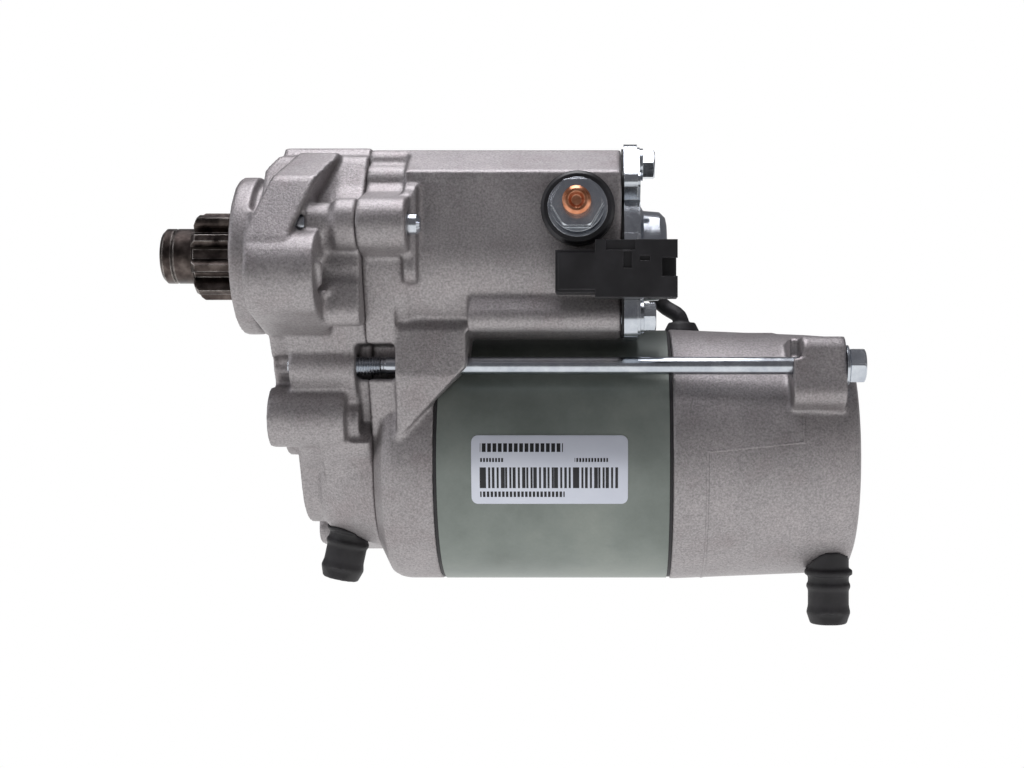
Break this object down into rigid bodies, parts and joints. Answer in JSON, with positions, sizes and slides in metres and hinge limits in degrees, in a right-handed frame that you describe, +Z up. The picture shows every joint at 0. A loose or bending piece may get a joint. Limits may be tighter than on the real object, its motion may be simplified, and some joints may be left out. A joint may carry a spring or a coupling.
{
  "type": "starter motor",
  "caption": "Offset gear-reduction starter motor: cast cases, steel yoke, electric switch that slides a toothed drive pinion out through the mounting pilot.",
  "frame": {"origin": "centre of the mounting pilot's front face, on the pinion axis", "axes": "+X along the pinion axis from the pinion to the rear cover, +Z up with the motor below the switch, the battery stud points to -Y"},
  "size_m": [0.2136, 0.122, 0.1475],
  "materials": {
    "die_cast": "sand-textured die casting, bare",
    "zinc_plate": "bright zinc plate with a slight blue tint",
    "yoke_coat": "thin green-grey phosphate coat",
    "dark_steel": "hardened, oiled gear steel",
    "steel": "ground bearing and gear steel",
    "spring_steel": "spring wire",
    "copper": "bare copper",
    "enamel_copper": "enamelled copper wire",
    "iron": "soft iron",
    "rubber": "black rubber",
    "black_plastic": "black glass-filled plastic",
    "brown_plastic": "brown phenolic",
    "carbon": "copper-graphite brush",
    "gasket": "thin black gasket",
    "label_film": "plain silver film"
  },
  "bodies": {
    "root": {"drive_housing": "die_cast", "switch_housing": "die_cast", "switch_cover": "zinc_plate", "cover_gasket": "gasket", "cover_bolts": "zinc_plate", "bolt_washers": "zinc_plate", "housing_screws": "zinc_plate", "yoke": "yoke_coat", "pole_cores": "iron", "field_coils": "enamel_copper", "seal_rings": "rubber", "end_frame": "die_cast", "through_bolts": "zinc_plate", "brush_holder": "steel", "brushes": "carbon", "brush_springs": "spring_steel", "idler_pin": "steel", "bearing_outers": "steel", "switch_core": "iron", "coil_bobbin": "black_plastic", "switch_coil": "enamel_copper", "battery_contact": "copper", "motor_contact": "copper", "terminal_nuts": "zinc_plate", "terminal_base": "black_plastic", "signal_connector": "black_plastic", "connector_blade": "copper", "drain_tubes": "rubber", "motor_lead": "rubber", "label": "label_film"},
    "armature": {"armature_shaft": "steel", "armature_core": "iron", "armature_windings": "enamel_copper", "commutator_bars": "copper", "commutator_hub": "brown_plastic", "motor_bearing_inners": "steel", "motor_bearing_balls": "steel"},
    "idler": {"idler_gear": "steel", "idler_rollers": "steel", "roller_cage": "black_plastic"},
    "clutch": {"clutch_gear": "steel", "clutch_rollers": "steel", "clutch_springs": "spring_steel", "clutch_plate": "steel"},
    "clutch_tube": {"clutch_inner": "steel", "clutch_bearing_inners": "steel", "clutch_bearing_balls": "steel"},
    "pinion": {"pinion_shaft": "dark_steel", "pinion_gear": "dark_steel", "collars": "dark_steel", "snap_ring": "spring_steel", "spring_seat": "steel", "return_spring": "spring_steel", "steel_ball": "steel"},
    "plunger": {"plunger": "iron", "plunger_spring": "spring_steel", "moving_contact": "copper", "contact_bush": "brown_plastic", "stem_clip": "spring_steel", "contact_spring": "spring_steel"}
  },
  "joints": [
    {"name": "armature_spin", "type": "hinge", "parent": "root", "child": "armature", "pos_m": [0, 0.028, -0.0618], "axis": [1, 0, 0], "continuous": true},
    {"name": "idler_spin", "type": "hinge", "parent": "root", "child": "idler", "pos_m": [0, 0.02025, -0.03594], "axis": [1, 0, 0], "continuous": true},
    {"name": "clutch_spin", "type": "hinge", "parent": "root", "child": "clutch", "pos_m": [0, 0, 0], "axis": [1, 0, 0], "continuous": true},
    {"name": "clutch_overrun", "type": "hinge", "parent": "clutch", "child": "clutch_tube", "pos_m": [0, 0, 0], "axis": [1, 0, 0], "continuous": true},
    {"name": "pinion_slide", "type": "slide", "parent": "clutch_tube", "child": "pinion", "axis": [-1, 0, 0], "range_m": [0, 0.01], "stiffness_N_per_m": 800, "springref_m": -0.01, "deforming": ["return_spring"]},
    {"name": "plunger_slide", "type": "slide", "parent": "root", "child": "plunger", "axis": [-1, 0, 0], "range_m": [0, 0.01], "deforming": ["plunger_spring"]}
  ],
  "couplings": [
    {"joint": "idler_spin", "follows": "armature_spin", "ratio": -0.38462},
    {"joint": "clutch_spin", "follows": "armature_spin", "ratio": 0.34483},
    {"joint": "plunger_slide", "follows": "pinion_slide", "ratio": 1}
  ]
}
